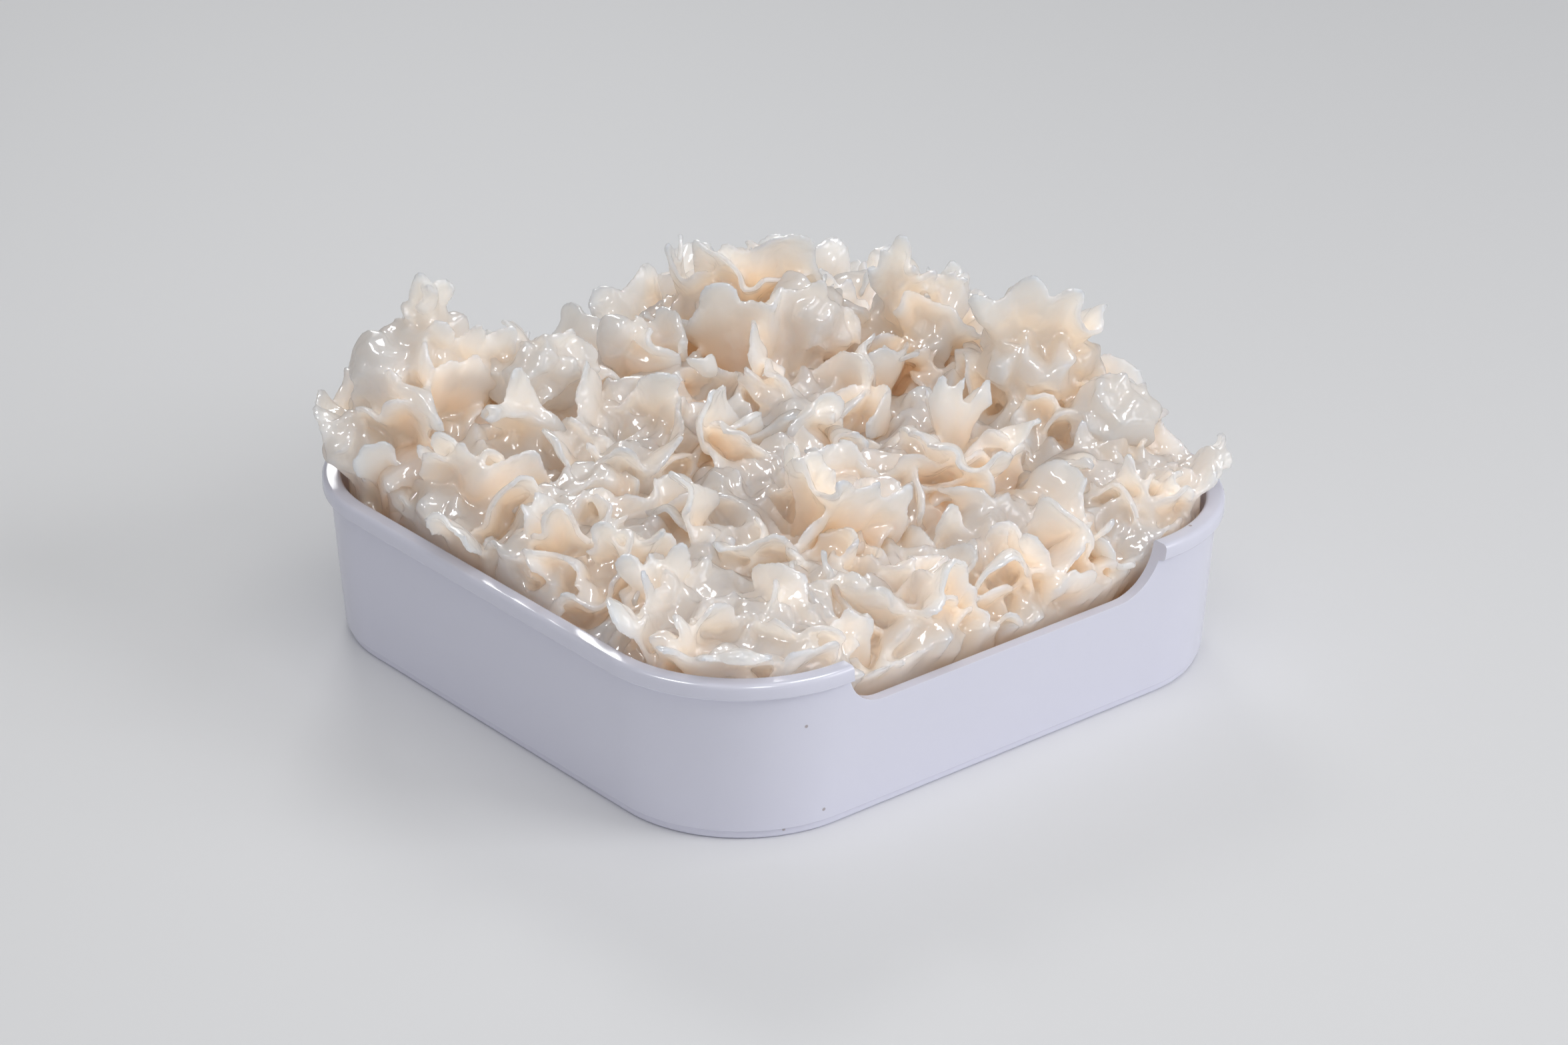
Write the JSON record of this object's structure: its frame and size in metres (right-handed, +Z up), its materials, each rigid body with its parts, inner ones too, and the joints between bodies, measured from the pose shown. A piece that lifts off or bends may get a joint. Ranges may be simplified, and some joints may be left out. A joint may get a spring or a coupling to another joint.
{
  "type": "snow fungus in a square tray",
  "caption": "Heap of wet, ruffled snow fungus florets in a square white plastic tray with rounded corners and one side cut down.",
  "frame": {"origin": "middle of the tray's flat underside", "axes": "+Z up out of the tray, -Y towards the cut-down side of the rim, +X along that side to its right"},
  "size_m": [0.1639, 0.1648, 0.0807],
  "materials": {
    "tray_plastic": "glossy white with a faint lavender tint",
    "fungus_flesh": "wet, gelatinous and translucent, milky white to pale peach"
  },
  "bodies": {
    "root": {"tray": "tray_plastic", "floret_left_corner": "fungus_flesh", "floret_left_side": "fungus_flesh", "floret_front_left": "fungus_flesh", "floret_near_corner": "fungus_flesh", "floret_back_left": "fungus_flesh", "floret_inner_left": "fungus_flesh", "floret_inner_front": "fungus_flesh", "floret_front": "fungus_flesh", "floret_back": "fungus_flesh", "floret_inner_back": "fungus_flesh", "floret_inner_right": "fungus_flesh", "floret_front_right": "fungus_flesh", "floret_back_corner": "fungus_flesh", "floret_back_right": "fungus_flesh", "floret_right_side": "fungus_flesh", "floret_right_corner": "fungus_flesh"}
  },
  "joints": []
}
